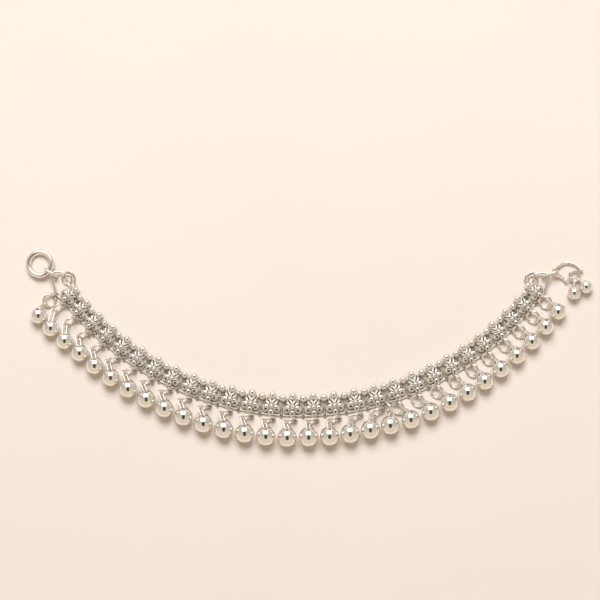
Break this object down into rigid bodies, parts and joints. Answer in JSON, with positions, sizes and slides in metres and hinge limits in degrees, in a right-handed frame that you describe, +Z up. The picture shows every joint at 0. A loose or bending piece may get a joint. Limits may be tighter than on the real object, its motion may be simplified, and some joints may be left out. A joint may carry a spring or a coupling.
{
  "type": "payal anklet",
  "caption": "Silver payal anklet lying open: a curved band of flower links with a fringe of ball drops, a ring at one end and a hook with two balls at the other.",
  "frame": {"origin": "middle of the bounding box, on the surface that the anklet lies on", "axes": "+X along the anklet's span towards the hook, +Y from the drops towards the arc's centre, +Z up"},
  "size_m": [0.2262, 0.0786, 0.0078],
  "materials": {
    "band_silver": "cast and polished silver, dark in its recesses",
    "ball_silver": "high polish",
    "wire_silver": "polished drawn wire"
  },
  "bodies": {
    "root": {"ball_drop_01": "ball_silver", "ball_drop_02": "ball_silver", "ball_drop_03": "ball_silver", "ball_drop_04": "ball_silver", "ball_drop_05": "ball_silver", "ball_drop_06": "ball_silver", "ball_drop_07": "ball_silver", "ball_drop_08": "ball_silver", "ball_drop_09": "ball_silver", "ball_drop_10": "ball_silver", "ball_drop_11": "ball_silver", "ball_drop_12": "ball_silver", "ball_drop_13": "ball_silver", "ball_drop_14": "ball_silver", "ball_drop_15": "ball_silver", "ball_drop_16": "ball_silver", "ball_drop_17": "ball_silver", "ball_drop_18": "ball_silver", "ball_drop_19": "ball_silver", "ball_drop_20": "ball_silver", "ball_drop_21": "ball_silver", "ball_drop_22": "ball_silver", "ball_drop_23": "ball_silver", "ball_drop_24": "ball_silver", "ball_drop_25": "ball_silver", "ball_drop_26": "ball_silver", "ball_drop_27": "ball_silver", "ball_drop_28": "ball_silver", "ball_drop_29": "ball_silver", "ball_drop_30": "ball_silver", "band_section_1": "band_silver", "band_section_2": "band_silver", "band_section_3": "band_silver", "band_section_4": "band_silver", "band_section_5": "band_silver", "band_section_6": "band_silver", "band_section_7": "band_silver", "charm_ring": "wire_silver", "clasp_ball_1": "ball_silver", "clasp_ball_2": "ball_silver", "end_loop_left": "wire_silver", "end_loop_right": "wire_silver", "end_ring": "wire_silver", "hook": "wire_silver", "hook_link": "wire_silver", "ring_link": "wire_silver"}
  },
  "joints": []
}
